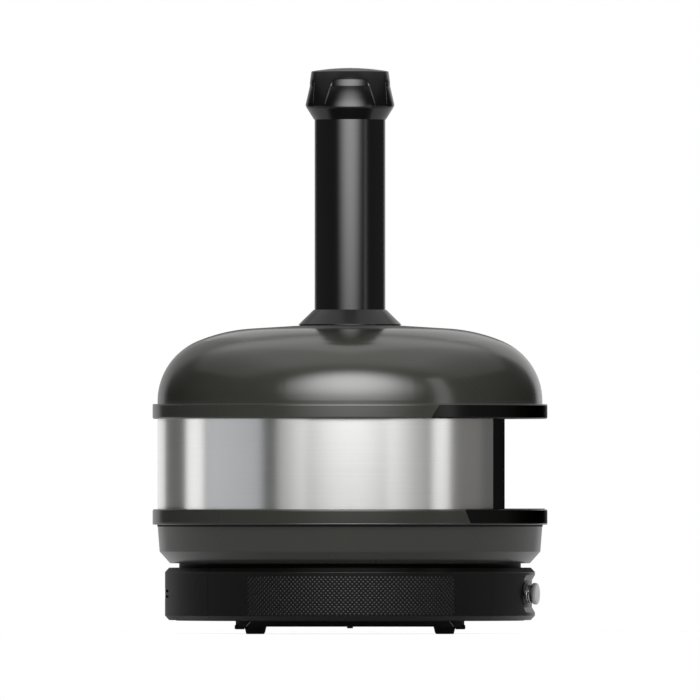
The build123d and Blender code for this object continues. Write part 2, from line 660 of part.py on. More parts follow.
def gas_manifold():
    """Supply pipe from the inlet to a cross rail, with a stub to each valve."""
    rail = Pos(RAIL_X, 0, KNOB_Z) * Rot(90, 0, 0) * Cylinder(RAIL_R, 2 * RAIL_HALF_Y)
    supply = Pos(0, 0, KNOB_Z) * tube_x(SUPPLY_R, -INLET_BACK_R, RAIL_X)
    pipes = rail + supply
    for angle in (-KNOB_ANGLE, KNOB_ANGLE):
        pipes += on_base(tube_x(STUB_R, RAIL_X - RECESS_R, VALVE_SPAN[0]), angle)
    return pipes


def gas_inlet():
    """Brass fitting with a threaded port that stays behind the rear panel's surface."""
    flange_start, flange_end = INLET_FLANGE_SPAN
    bore_end = INLET_FACE_R - INLET_BORE_L
    fitting = spindle((INLET_BACK_R, 0), (INLET_BACK_R, INLET_BODY_R), (flange_start, INLET_BODY_R),
                      (flange_start, INLET_FLANGE_R), (flange_end, INLET_FLANGE_R), (flange_end, INLET_BODY_R),
                      (INLET_FACE_R, INLET_BODY_R), (INLET_FACE_R, INLET_BORE_R), (bore_end, INLET_BORE_R),
                      (bore_end, 0))
    return Rot(0, 0, 180) * Pos(0, 0, KNOB_Z) * fitting


def foot_places():
    return {"front_left": (1, -1), "front_right": (1, 1), "rear_left": (-1, -1), "rear_right": (-1, 1)}


def foot_plate():
    plate = Pos(0, 0, PLATE_Z) * extrude(RectangleRounded(2 * PLATE_HALF, 2 * PLATE_HALF, PLATE_CORNER),
                                         BASE_Z - PLATE_Z)
    plate -= rod(ROD_HOLE_R, PLATE_Z - 1, BASE_Z + 1)
    for x, y in foot_places().values():
        plate -= rod(SCREW_HOLE_R, PLATE_Z - 1, BASE_Z - 1, x * FOOT_PLACE, y * FOOT_PLACE)
    return plate


def rubber_foot(x, y):
    foot = profile((FOOT_BORE_R, FOOT_SINK_H), (FOOT_SINK_R, FOOT_SINK_H), (FOOT_SINK_R, 0), (FOOT_LOW_R - 1, 0),
                   (FOOT_LOW_R, 1), (FOOT_TOP_R, PLATE_Z), (FOOT_BORE_R, PLATE_Z))
    return Pos(x * FOOT_PLACE, y * FOOT_PLACE, 0) * foot


def foot_brackets():
    """Clip under the plate's edge beside each foot, with a bead that stands out over the edge."""
    low, bead_low, bead_high, top = CLIP_Z
    inner_low, inner_high = CLIP_INNER_X
    outer = PLATE_HALF + CLIP_T
    outline = Polyline((inner_high, PLATE_Z), (PLATE_HALF, PLATE_Z), (PLATE_HALF, top), (outer - CLIP_T / 2, top),
                       (outer, bead_high), (outer, bead_low), (PLATE_HALF, low), (inner_low, low), close=True)
    clip = extrude(Plane.XZ * make_face(outline), CLIP_WIDTH / 2, both=True)
    clips = [Pos(0, y * FOOT_PLACE, 0) * (clip if x > 0 else mirror(clip, Plane.YZ))
             for x, y in foot_places().values()]
    return Compound([solid for piece in clips for solid in piece.solids()])


def foot_screws():
    top = BASE_Z - 1.5
    screws = []
    for x, y in foot_places().values():
        place = (x * FOOT_PLACE, y * FOOT_PLACE)
        head = rod(SCREW_HEAD_R, FOOT_SINK_H - SCREW_HEAD_H, FOOT_SINK_H, *place)
        screws.append(head + rod(SCREW_R, FOOT_SINK_H, top, *place))
    return Compound(screws)


def plate_bolt():
    top = PANEL_FOOT_Z + PANEL_T + PAN_FLANGE_T
    head = rod(PLATE_BOLT_HEAD_R, PLATE_Z - PLATE_BOLT_HEAD_H, PLATE_Z)
    return chamfer(head.edges().group_by(Axis.Z)[0], 0.6) + rod(ROD_R, PLATE_Z, top)


def build():
    single = (dome_shell, inner_dome, dome_insulation, wall_insulation, upper_rim, mouth_lintel, lower_rim,
              mouth_sill, steel_band, lower_bowl, hearth_pan, hearth_insulation, flue_spigot, flue_tube,
              collar_gasket, flue_collar, collar_screws, chimney_cap, cap_sleeve, neck_ring, front_panel,
              rear_panel, base_pan, base_deck, neck_bolts, tie_rods, gas_manifold, gas_inlet, foot_plate,
              foot_brackets, foot_screws, plate_bolt)
    paired = (jamb, burner, burner_feed, electrode, grip_panel, knob_bezel, knob_skirt, knob_cap, valve_stem,
              spring_seat, gas_valve)
    parts = {make.__name__: make() for make in single}
    for name, side in SIDES.items():
        parts[f"{name}_stone"] = stone_half(side)
        for make in paired:
            parts[f"{name}_{make.__name__}"] = make(side)
    for name, (x, y) in foot_places().items():
        parts[f"{name}_foot"] = rubber_foot(x, y)
    return parts


os.makedirs("parts", exist_ok=True)
for node, shape in build().items():
    export_step(shape, f"parts/{node}.step")
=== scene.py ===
import json
import math
from collections import namedtuple
from functools import partial, reduce

import bmesh
import bpy
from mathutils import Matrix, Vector


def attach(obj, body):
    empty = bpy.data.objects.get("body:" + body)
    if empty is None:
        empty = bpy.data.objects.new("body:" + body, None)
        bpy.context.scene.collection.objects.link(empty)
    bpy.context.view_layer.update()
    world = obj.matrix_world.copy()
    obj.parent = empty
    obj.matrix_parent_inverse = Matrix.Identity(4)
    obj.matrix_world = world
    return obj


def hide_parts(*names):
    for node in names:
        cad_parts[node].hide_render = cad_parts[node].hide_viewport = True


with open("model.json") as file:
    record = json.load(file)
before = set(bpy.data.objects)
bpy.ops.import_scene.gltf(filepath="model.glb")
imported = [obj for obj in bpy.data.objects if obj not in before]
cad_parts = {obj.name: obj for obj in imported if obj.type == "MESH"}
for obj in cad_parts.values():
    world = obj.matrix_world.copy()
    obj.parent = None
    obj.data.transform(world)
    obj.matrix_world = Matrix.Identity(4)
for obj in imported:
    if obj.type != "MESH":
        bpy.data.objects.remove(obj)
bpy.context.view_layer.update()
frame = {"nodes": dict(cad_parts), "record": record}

# Outdoor gas pizza oven with a tall flue. +Z is up, +X points out of the mouth and left is -Y.
# The left side faces the camera.

MM = 0.001
UP = (0, 0, 1)
ORIGIN = (0, 0, 0)
WHITE = (1.0, 1.0, 1.0)
SIDES = {"left": -1, "right": 1}

# Camera: metres, and millimetres for the sensor
CAMERA_DISTANCE = 47.0
CAMERA_Z = 0.20
TARGET_Z = 0.407
VIEW_WIDTH = 1.0045
SENSOR = 36.0
CLIP_START = 0.1
CLIP_END = 200.0

# Room that reflections see: grey levels by direction, from 0 away from the backdrop to 1 towards it.
# The ground gives way to the wall over HORIZON, and the wall to its upper part over WALL_RISE.
# Dull surfaces are lit by AMBIENT from all round.
BACKDROP = (-0.03, 1.0, 0.0)
GROUND_STOPS = [(0.0, 0.24), (0.5, 0.37), (0.9, 0.50)]
WALL_STOPS = [(0.0, 0.04), (0.5, 0.06), (0.8, 0.015), (0.91, 0.02), (0.93, 0.14), (0.945, 0.50)]
HIGH_WALL_STOPS = [(0.0, 0.04), (0.5, 0.06), (0.8, 0.03), (0.9, 0.10), (0.945, 0.34)]
HORIZON = (-0.055, -0.01)
WALL_RISE = (0.08, 0.30)
AMBIENT = 0.14

# Floor, in metres: it glows for the camera, gleams in reflections of its far side and fades out outwards
FLOOR_R = 3.0
FLOOR_SIDES = 96
FLOOR_Z = -0.0005
FLOOR_GREY = 0.40
FLOOR_ROUGH = 0.9
FLOOR_SPECULAR = 0.1
FLOOR_GLOW = 0.85
FLOOR_GLEAM = 0.35
FLOOR_FAR = (-0.25, 0.15)
FLOOR_FADE = (0.95, 0.45)

# Lamps, in metres; the size is width and height
Lamp = namedtuple("Lamp", "place target size radiance colour", defaults=[WHITE])
COOL = (0.945, 0.96, 1.0)
WARM = (1.0, 0.97, 0.86)
ROOM_LAMPS = {
    "key": Lamp((0.01, -1.2, 0.95), (0.01, 0, 0.95), (2.3, 1.84), 5.8),
    "right_strip": Lamp((0.75, -0.62, 0.56), (0.12, -0.24, 0.52), (0.16, 0.64), 1.0),
    "overhead": Lamp((0, 0, 1.9), (0, 0, 0.4), (5.2, 3.8), 0.62),
    "back_fill": Lamp((0.4, 1.7, 0.9), (0, 0, 0.35), (1.6, 1.2), 0.3),
}
BAND_LAMPS = {
    "band_behind": Lamp((-0.67, 1.1, 0.25), (-0.27, -0.04, 0.25), (0.61, 0.8), 0.72),
    "band_left_rear": Lamp((-0.94, 0.070, 0.25), (-0.22, -0.16, 0.25), (0.27, 0.6), 2.05),
    "band_left_front": Lamp((-0.867, -0.41, 0.25), (-0.17, -0.21, 0.25), (0.64, 0.6), 1.07, COOL),
    "band_front": Lamp((0.02, -1.3, 0.45), (0.02, 0, 0.30), (1.7, 0.5), 0.25),
    "band_front_left": Lamp((-0.606, -0.996, 0.30), (-0.08, -0.265, 0.25), (0.335, 0.5), 1.25),
    "band_front_right": Lamp((0.594, -1.004, 0.30), (0.08, -0.265, 0.25), (0.445, 0.5), 1.25),
    "band_strip": Lamp((0.73, -0.645, 0.30), (0.12, -0.24, 0.25), (0.18, 0.6), 1.9),
    "band_right": Lamp((0.93, -0.44, 0.30), (0.16, -0.22, 0.25), (0.40, 0.5), 0.21, WARM),
}
CHAMBER_LAMPS = {"chamber_fill": Lamp((1.5, -0.25, 0.50), (0, 0, 0.22), (0.8, 0.5), 1.4)}
CHAMBER = ("inner_dome", "hearth_pan", "left_stone", "right_stone", "left_burner", "right_burner",
           "left_electrode", "right_electrode")
KNOB_LAMPS = {
    "knob_face": Lamp((0.75, 0.65, 0.08), (0.26, 0, 0.057), (0.5, 0.4), 1.5),
    "knob_side": Lamp((0.75, -0.75, 0.08), (0.26, -0.07, 0.057), (0.5, 0.4), 1.7),
}

# Dimming of the two large lamps, in shares of their width and height: from one long edge to the other,
# out from the line across the middle, or out from the middle
LAMP_MIDDLE = 0.5
KEY_FOOT = [(0.046, 0.17), (0.156, 0.51), (0.246, 1.0)]
KEY_FADE = [(0.0, 1.0), (0.1, 0.95), (0.175, 0.80), (0.25, 0.56), (0.325, 0.32), (0.4, 0.13), (0.5, 0.0)]
OVERHEAD_DEPTH = [(0.0, 0.03), (0.168, 0.08), (0.227, 0.35), (0.29, 0.8), (0.328, 1.0), (0.84, 1.0),
                  (0.89, 0.82), (1.0, 0.3)]
OVERHEAD_SIDE = [(0.17, 1.0), (0.231, 0.74), (0.29, 0.54), (0.348, 0.44), (0.4, 0.37), (0.5, 0.27)]

# Plain finishes, with a fine grain and slow patches
Grain = namedtuple("Grain", "scale strength depth")
FINE_GRAIN = Grain(900.0, 0.1, 0.0002)
PLASTIC_GRAIN = Grain(1400.0, 0.08, 0.0002)
SILVER_GRAIN = Grain(1800.0, 0.1, 0.0001)
FIBRE_GRAIN = Grain(500.0, 0.8, 0.002)
RUBBER_GRAIN = Grain(1600.0, 0.3, 0.0002)
GRAIN_DETAIL = 2.0
PATCH_SCALE = 14.0
PATCH_DETAIL = 3.0
NOISE_SPAN = (0.3, 0.7)
FINISHES = {
    "olive_paint": dict(colour=(0.034, 0.0345, 0.029), rough=0.18, vary=0.03, specular=1.0),
    "flue_black": dict(colour=(0.0015, 0.0015, 0.0014), rough=0.21, vary=0.05, specular=0.62),
    "gloss_black": dict(colour=(0.038, 0.038, 0.037), rough=0.24, vary=0.05, metallic=1.0),
    "base_black": dict(colour=(0.0018, 0.0018, 0.0017), rough=0.25, grain=PLASTIC_GRAIN, specular=0.55),
    # Darker, duller black for the neck ring: painted shade for the shadow it sits in under the bowl
    "neck_black_painted_shade": dict(colour=(0.0012, 0.0012, 0.0011), rough=0.5, specular=0.12),
    "dot_black": dict(colour=(0.0018, 0.0018, 0.0017), rough=0.36, grain=PLASTIC_GRAIN, specular=0.55),
    "under_black": dict(colour=(0.010, 0.010, 0.010), rough=0.6, vary=0.1),
    "burner_steel": dict(colour=(0.42, 0.39, 0.35), rough=0.38, vary=0.15, metallic=1.0),
    "knob_silver": dict(colour=(0.72, 0.72, 0.71), rough=0.6, grain=SILVER_GRAIN, vary=0.04, metallic=1.0),
    "knob_chrome": dict(colour=(0.70, 0.70, 0.70), rough=0.26, vary=0.05, metallic=1.0),
    "knob_hub": dict(colour=(0.010, 0.010, 0.010), rough=0.5),
    "fibre": dict(colour=(0.78, 0.76, 0.70), rough=0.95, grain=FIBRE_GRAIN, vary=0.12),
    "gas_brass": dict(colour=(0.70, 0.52, 0.23), rough=0.30, vary=0.06, metallic=1.0),
    "spark_ceramic": dict(colour=(0.82, 0.81, 0.77), rough=0.18, vary=0.03),
    "foot_rubber": dict(colour=(0.012, 0.012, 0.012), rough=0.75, grain=RUBBER_GRAIN, vary=0.1),
    "zinc_steel": dict(colour=(0.60, 0.61, 0.62), rough=0.34, vary=0.08, metallic=1.0),
}
# The neck ring's own darker finish is painted shade for the shadow under the bowl
OWN_FINISH = {"neck_ring": "neck_black_painted_shade"}
TRIM_SHINE = [(0.2, 0.08), (0.4, 1.0), (0.9, 1.0), (0.97, 0.12)]

# Brushed steel, with scratches that are thin up the wall and long round it
BRUSHED = {
    "band_steel": dict(colour=(0.48, 0.48, 0.475), rough=0.34, stretch=(5.0, 5.0, 2600.0),
                       anisotropic=0.95, streak=0.07),
    "liner_steel": dict(colour=(0.36, 0.33, 0.29), rough=0.42, stretch=(30.0, 30.0, 900.0),
                        anisotropic=0.3, streak=0.15),
}
SCRATCH = Grain(1.0, 0.15, 0.00001)
SCRATCH_DETAIL = 4.0
SCRATCH_FINENESS = 0.6
SCRATCH_VARY = 0.15
QUARTER_TURN = 0.25

# Baking stone: shares of its colour along a slow bloom and along its grains
STONE_COLOUR = (0.50, 0.43, 0.34)
STONE_ROUGH = 0.9
STONE_GRAIN = Grain(900.0, 0.4, 0.0004)
STONE_DETAIL = 4.0
STONE_FINENESS = 0.7
BLOOM_SCALE = 9.0
BLOOM_DETAIL = 3.0
BLOOM_SHARES = [(0.35, 0.78), (0.65, 1.05)]
SPECK_SHARES = [(0.32, 0.55), (0.5, 1.0), (0.72, 1.2)]
SPECK_AMOUNT = 0.45

# Duller stretches of a finish, each faded in over ranges of the normal or of the place in metres
Stretch = namedtuple("Stretch", "finish rough limits")
Limit = namedtuple("Limit", "kind axis start end")
DOME_TOP = Stretch("olive_paint", 0.7, [Limit("normal", "Z", 0.8, 0.95), Limit("normal", "Y", -0.11, -0.04)])
BASE_TOP = Stretch("base_black", 0.75, [Limit("normal", "Z", 0.25, 0.45), Limit("normal", "Y", -0.45, -0.25),
                                        Limit("place", "Z", 0.078, 0.082), Limit("place", "X", 0.0, 0.1)])
BASE_REAR = Stretch("base_black", 0.5, [Limit("normal", "Y", -0.6, -0.2), Limit("place", "X", -0.20, -0.24)])

# Grip dots, in millimetres and degrees; the rings of a dot are shares of its radius and height
BASE_R = 265.5
PANEL_ANGLE = 90.0
DOT_ARC = 34.0
DOT_PITCH = 6.4
DOT_ROW = 3.26
DOT_FOOT = 28.5
DOT_TOP = 81.5
DOT_R = 2.1
DOT_H = 0.5
DOT_SIDES = 10
DOT_RINGS = ((1.0, -0.4), (1.0, 0.04), (0.86, 0.26), (0.66, 0.56), (0.42, 0.82), (0.18, 0.97))

# Turned details, in millimetres and degrees: outlines are (distance along the axis, radius), and a bead is
# the height and radius of its ring, then its own radius
TURN_COLUMNS = 256
TURN_SHARP = 35
POLE_GAP = 0.0001
BEAD_SIDES = 12
DOME_FLANGE = (328.0, 281.9, 1.4)
BOWL_FLANGE = (157.7, 281.9, 1.4)
PANEL_EDGE = (88.0, 264.9, 0.8)
# Dark rubber ring in the joint under the lower rim: painted shade standing in for the shadow in that joint
BOWL_JOINT_SHADE = [(153.6, 275.0), (153.6, 276.5), (156.8, 276.8), (156.8, 275.0)]
KNOB_ANGLE = 16.5
KNOB_Z = 57.3
RECESS_R = 261.2
SKIRT_RINGS = [(0.5, 4.1), (0.5, 10.4), (1.6, 10.6), (2.4, 11.0), (5.2, 11.0), (5.8, 10.5), (5.8, 10.0),
               (6.3, 10.0), (6.3, 12.0), (6.9, 12.8), (8.4, 13.1), (9.9, 12.8), (10.5, 12.0), (10.5, 8.7),
               (8.1, 8.7), (8.1, 4.1)]
KNOB_NECK = [(10.4, 4.1), (10.4, 12.8), (13.6, 12.8), (13.6, 4.1)]
KNOB_FACE = [(13.4, 0.0), (13.4, 14.2), (13.6, 14.8), (14.0, 15.1), (14.6, 15.3), (17.2, 15.3), (17.9, 15.1),
             (18.4, 14.7), (18.75, 14.1), (18.9, 13.4), (18.9, 0.0)]

# Foot arms, in millimetres and degrees: each runs between two ends (x, z) and stands on a face of the plate
ARM_ENDS = ((148.6, 10.6), (142.6, 17.9))
ARM_INNER_Y = 163.3
ARM_OUTER_Y = 164.3
ARM_W = 0.8
ARM_SHARP = 20

# Chimney cap, in millimetres and degrees: radii and leans of the normal are given against height
CAP_COLUMNS = 480
CAP_ROWS = 44
CAP_LOW_ROWS = [737.7, 746.0, 751.0, 752.6, 753.4]
CAP_HIGH_ROWS = [798.5, 801.5, 804.0, 805.6]
CAP_FRAME = [(737.7, 51.8), (755.4, 62.8), (757.2, 63.9), (758.5, 64.3), (760.0, 64.3), (793.7, 57.3),
             (806.0, 55.6)]
CAP_FLOOR = [(753.0, 61.0), (756.6, 63.3), (758.5, 63.9), (760.4, 63.5), (786.0, 57.6), (794.4, 56.8)]
FRAME_LEAN = [(752.6, -41), (754.6, -22), (756.8, -2), (759.0, 12), (780.0, 17), (796.0, 20), (799.0, 22),
              (805.6, 25)]
FLOOR_LEAN = [(752.9, -41), (754.2, -14), (756.3, 2), (758.2, 5), (763.2, 10), (767.7, 13.0), (775.7, 16.0),
              (782.2, 19.5), (797.0, 20)]
NORMAL_STEP = 0.2

# The cap's top as (radius, height, lean), and the inside of its socket as (radius, height)
CAP_CROWN = [(55.3, 806.5, 50), (54.4, 807.0, 64), (53.6, 807.25, 71), (44.0, 808.8, 74), (30.0, 810.5, 78),
             (15.0, 811.5, 84), (3.0, 811.9, 90)]
CAP_SOCKET = [(51.1, 737.7), (51.1, 752.3), (49.0, 752.3), (49.0, 757.0), (52.2, 757.0), (52.2, 763.0),
              (51.1, 797.2), (45.1, 803.2), (3.0, 803.2)]

# Finger grips of the cap: half widths are given against height
GRIPS = 4
GRIP_TOP = 795.4
GRIP_FOOT = 754.0
GRIP_HALF = [(760.4, 37.6), (794.4, 26.4)]
GRIP_CORNER = 7.0
GRIP_WALL = 2.8
GRIP_BEVEL = 10.5
BEVEL_DIP = 15.0
BEVEL_EDGE = 0.15

PRINCIPLED = "Principled BSDF"
SCALAR_RESULTS = ("DOT_PRODUCT", "DISTANCE", "LENGTH")


def rgba(tone):
    """Opaque colour from a colour or a grey."""
    return (*tone, 1.0) if isinstance(tone, tuple) else (tone, tone, tone, 1.0)


def tinted(tone, shares):
    """Ramp stops of a colour or a grey, from (position, share of it)."""
    if isinstance(tone, tuple):
        return [(position, tuple(channel * share for channel in tone)) for position, share in shares]
    return [(position, tone * share) for position, share in shares]


def around(tone, vary):
    """Ramp stops from a little below a colour or a grey to a little above it."""
    low, high = NOISE_SPAN
    return tinted(tone, [(low, 1 - vary), (high, 1 + vary)])


class Tree:
    """The nodes of a material, lamp or world, with a short call for each kind that is used."""

    def __init__(self, owner):
        owner.use_nodes = True
        self.nodes = owner.node_tree.nodes
        self.links = owner.node_tree.links

    def inputs(self, name):
        return self.nodes[name].inputs

    def feed(self, inputs, sources):
        """Link each input to a socket, or set it to a number, vector or colour."""
        for name, source in sources.items():
            if isinstance(source, bpy.types.NodeSocket):
                self.links.new(source, inputs[name])
            else:
                inputs[name].default_value = source

    def add(self, kind, sources=None, **settings):
        """Add a node with its settings and sources; returns its outputs."""
        node = self.nodes.new(f"ShaderNode{kind}")
        for name, value in settings.items():
            setattr(node, name, value)
        self.feed(node.inputs, sources or {})
        return node.outputs

    def place(self):
        return self.add("TexCoord")["Object"]

    def parts(self, vector):
        return self.add("SeparateXYZ", {0: vector})

    def maths(self, operation, *sources):
        return self.add("Math", dict(enumerate(sources)), operation=operation)[0]

    def vector(self, operation, *sources):
        outputs = self.add("VectorMath", dict(enumerate(sources)), operation=operation)
        return outputs["Value" if operation in SCALAR_RESULTS else "Vector"]

    def rise(self, source, start, end):
        """From 0 at the start to 1 at the end."""
        return self.add("MapRange", {"Value": source, "From Min": start, "From Max": end})[0]

    def ramp(self, source, stops):
        """Colour ramp whose stops are (position, grey or colour)."""
        node = self.nodes.new("ShaderNodeValToRGB")
        marks = node.color_ramp.elements
        while len(marks) < len(stops):
            marks.new(0.5)
        for mark, (position, tone) in zip(marks, stops):
            mark.position = position
            mark.color = rgba(tone)
        self.feed(node.inputs, {"Fac": source})
        return node.outputs["Color"]

    def blend(self, factor, first, second):
        return self.add("Mix", {"Factor": factor, "A": first, "B": second}, data_type="RGBA")["Result"]

    def noise(self, place, scale, detail, fineness=0.5):
        sources = {"Vector": place, "Scale": scale, "Detail": detail, "Roughness": fineness}
        return self.add("TexNoise", sources)["Fac"]

    def bump(self, height, grain):
        sources = {"Height": height, "Strength": grain.strength, "Distance": grain.depth}
        return self.add("Bump", sources)["Normal"]


def new_material(name):
    """Principled material; returns it with its tree, its shader's inputs and the place on the surface."""
    material = bpy.data.materials.new(name)
    tree = Tree(material)
    return material, tree, tree.inputs(PRINCIPLED), tree.place()


def finish(name, colour, rough, grain=FINE_GRAIN, vary=0.08, metallic=0.0, specular=0.5):
    """A solid finish with a fine grain, and slow changes of colour and roughness over the surface."""
    material, tree, inputs, place = new_material(name)
    slow = tree.noise(place, PATCH_SCALE, PATCH_DETAIL)
    fine = tree.noise(place, grain.scale, GRAIN_DETAIL)
    tree.feed(inputs, {
        "Base Color": tree.ramp(slow, around(colour, vary)),
        "Roughness": tree.ramp(fine, around(rough, vary)),
        "Metallic": metallic,
        "Specular IOR Level": specular,
        "Normal": tree.bump(fine, grain),
    })
    return material


def brushed(name, colour, rough, stretch, anisotropic, streak):
    """Steel with long fine scratches round the upright axis."""
    material, tree, inputs, place = new_material(name)
    scratches = tree.noise(tree.vector("MULTIPLY", place, stretch), SCRATCH.scale, SCRATCH_DETAIL,
                           SCRATCH_FINENESS)
    tree.feed(inputs, {
        "Base Color": tree.ramp(scratches, around(colour, streak)),
        "Roughness": tree.ramp(scratches, around(rough, SCRATCH_VARY)),
        "Metallic": 1.0,
        "Anisotropic": anisotropic,
        "Anisotropic Rotation": QUARTER_TURN,
        "Tangent": tree.add("Tangent", direction_type="RADIAL", axis="Z")["Tangent"],
        "Normal": tree.bump(scratches, SCRATCH),
    })
    return material


def stone(name):
    """Pale baking stone with sandy grains and a faint toasted bloom."""
    material, tree, inputs, place = new_material(name)
    grains = tree.noise(place, STONE_GRAIN.scale, STONE_DETAIL, STONE_FINENESS)
    bloom = tree.noise(place, BLOOM_SCALE, BLOOM_DETAIL)
    toasted = tree.ramp(bloom, tinted(STONE_COLOUR, BLOOM_SHARES))
    specks = tree.ramp(grains, tinted(STONE_COLOUR, SPECK_SHARES))
    tree.feed(inputs, {
        "Base Color": tree.blend(SPECK_AMOUNT, toasted, specks),
        "Roughness": STONE_ROUGH,
        "Normal": tree.bump(grains, STONE_GRAIN),
    })
    return material


def shine_edges(material):
    """Let a black enamel shine along its rounded edges and stay dark on its upright and level faces."""
    tree = Tree(material)
    level = tree.maths("ABSOLUTE", tree.parts(tree.add("NewGeometry")["Normal"])["Z"])
    tree.feed(tree.inputs(PRINCIPLED), {"Specular Tint": tree.ramp(level, TRIM_SHINE)})


def dull(material, rough, limits):
    """Make a finish duller where its place and its normal pass all the limits."""
    tree = Tree(material)
    inputs = tree.inputs(PRINCIPLED)
    fresh = inputs["Roughness"].links[0].from_socket
    parts = {"normal": tree.parts(tree.add("NewGeometry")["Normal"]), "place": tree.parts(tree.place())}
    amounts = [tree.rise(parts[limit.kind][limit.axis], limit.start, limit.end) for limit in limits]
    amount = reduce(partial(tree.maths, "MULTIPLY"), amounts)
    tree.feed(inputs, {"Roughness": tree.blend(amount, fresh, rgba(rough))})


def make_materials():
    materials = {name: finish(name, **look) for name, look in FINISHES.items()}
    materials.update({name: brushed(name, **look) for name, look in BRUSHED.items()})
    materials["hearth_stone"] = stone("hearth_stone")
    shine_edges(materials["gloss_black"])
    for stretch in (DOME_TOP, BASE_TOP, BASE_REAR):
        dull(materials[stretch.finish], stretch.rough, stretch.limits)
    return materials


def dress_nodes(materials):
    slots = {part["node"]: part["material_slot"] for part in frame["record"]["subparts"]}
    for node, obj in frame["nodes"].items():
        for slot in obj.material_slots:
            slot.material = materials[OWN_FINISH.get(node, slots[node])]


def to_mesh(name, shape):
    mesh = bpy.data.meshes.new(name)
    shape.to_mesh(mesh)
    shape.free()
    return mesh


def add_piece(name, mesh, body, material):
    for polygon in mesh.polygons:
        polygon.use_smooth = True
    mesh.materials.append(material)
    obj = bpy.data.objects.new(name, mesh)
    bpy.context.collection.objects.link(obj)
    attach(obj, body)
    return obj


def add_skin(shape, loops):
    """Faces between loops of points, closed at both ends."""
    count = len(loops[0])
    for low, high in zip(loops, loops[1:]):
        for n in range(count):
            m = (n + 1) % count
            shape.faces.new((low[n], low[m], high[m], high[n]))
    shape.faces.new(loops[-1])
    shape.faces.new(reversed(loops[0]))


def add_dot(shape, angle, z):
    """One low stud on the round base."""
    out = Vector((math.cos(angle), math.sin(angle), 0))
    beside = Vector((-math.sin(angle), math.cos(angle), 0))
    centre = out * BASE_R + Vector(UP) * z
    turns = [2 * math.pi * n / DOT_SIDES for n in range(DOT_SIDES)]
    spokes = [beside * math.cos(turn) + Vector(UP) * math.sin(turn) for turn in turns]
    loops = []
    for width, height in DOT_RINGS:
        middle = centre + out * DOT_H * height
        loops.append([shape.verts.new((middle + spoke * DOT_R * width) * MM) for spoke in spokes])
    add_skin(shape, loops)


def grip_dots(label, direction, materials):
    """Staggered low studs over the middle of a grip panel."""
    name = f"{label}_grip_dots"
    studs = bmesh.new()
    step = math.degrees(DOT_PITCH / BASE_R)
    columns = int(DOT_ARC / step)
    rows = int((DOT_TOP - DOT_FOOT) / DOT_ROW) + 1
    for row in range(rows):
        stagger = row % 2 / 2
        for column in range(-columns, columns + 1):
            angle = math.radians(direction * PANEL_ANGLE + (column + stagger) * step)
            add_dot(studs, angle, DOT_FOOT + row * DOT_ROW)
    add_piece(name, to_mesh(name, studs), "oven", materials["dot_black"])


def turned(name, outline, body, slot, materials, place=ORIGIN, axis=UP):
    """Piece with a closed outline of (distance along the axis, radius), turned round an axis at a place."""
    aim = Vector(axis).normalized()
    across = aim.orthogonal().normalized()
    beside = aim.cross(across)
    verts = []
    faces = []
    size = len(outline)
    for n in range(TURN_COLUMNS):
        turn = 2 * math.pi * n / TURN_COLUMNS
        out = across * math.cos(turn) + beside * math.sin(turn)
        verts += [(Vector(place) + aim * reach + out * radius) * MM for reach, radius in outline]
        here, there = n * size, (n + 1) % TURN_COLUMNS * size
        faces += [(here + k, here + (k + 1) % size, there + (k + 1) % size, there + k) for k in range(size)]
    mesh = bpy.data.meshes.new(name)
    mesh.from_pydata(verts, [], faces)
    if min(radius for _, radius in outline) == 0:
        join_poles(mesh)
    piece = add_piece(name, mesh, body, materials[slot])
    mesh.set_sharp_from_angle(angle=math.radians(TURN_SHARP))
    return piece


def join_poles(mesh):
    """Join the points of a turned mesh that meet on its axis."""
    joined = bmesh.new()
    joined.from_mesh(mesh)
    bmesh.ops.remove_doubles(joined, verts=joined.verts, dist=POLE_GAP * MM)
    loose = [edge for edge in joined.edges if not edge.link_faces]
    bmesh.ops.delete(joined, geom=loose, context="EDGES")
    joined.to_mesh(mesh)
    joined.free()


def bead(centre_z, centre_r, radius):
    """Round outline of a rolled edge."""
    turns = [2 * math.pi * n / BEAD_SIDES for n in range(BEAD_SIDES)]
    return [(centre_z + radius * math.sin(turn), centre_r + radius * math.cos(turn)) for turn in turns]


def rim_details(materials):
    """Rolled flanges of the dome and the bowl along the rims, the soft edge along the top of the base
    panels, and a dark rubber ring in the joint under the lower rim, whose darkness is painted shade for the
    shadow in that joint."""
    turned("dome_flange_edge", bead(*DOME_FLANGE), "oven", "olive_paint", materials)
    turned("bowl_flange_edge", bead(*BOWL_FLANGE), "oven", "olive_paint", materials)
    turned("panel_edge", bead(*PANEL_EDGE), "oven", "base_black", materials)
    # Dark ring under the lower rim: painted shade for the shadow in the joint
    turned("bowl_joint_shade", BOWL_JOINT_SHADE, "oven", "foot_rubber", materials)


def knob(label, direction, materials):
    """Flat knob with a dark neck and a chrome skirt of two rings behind it; returns the shiny pieces."""
    turn = math.radians(direction * KNOB_ANGLE)
    axis = (math.cos(turn), math.sin(turn), 0)
    place = (RECESS_R * axis[0], RECESS_R * axis[1], KNOB_Z)
    body = f"{label}_knob"
    skirt = turned(f"{label}_skirt_rings", SKIRT_RINGS, body, "knob_chrome", materials, place, axis)
    turned(f"{label}_knob_neck", KNOB_NECK, body, "knob_hub", materials, place, axis)
    face = turned(f"{label}_knob_face", KNOB_FACE, body, "knob_silver", materials, place, axis)
    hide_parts(f"{label}_knob_skirt")
    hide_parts(f"{label}_knob_cap")
    for piece in (skirt, face):
        piece.visible_glossy = False
    return [skirt, face]


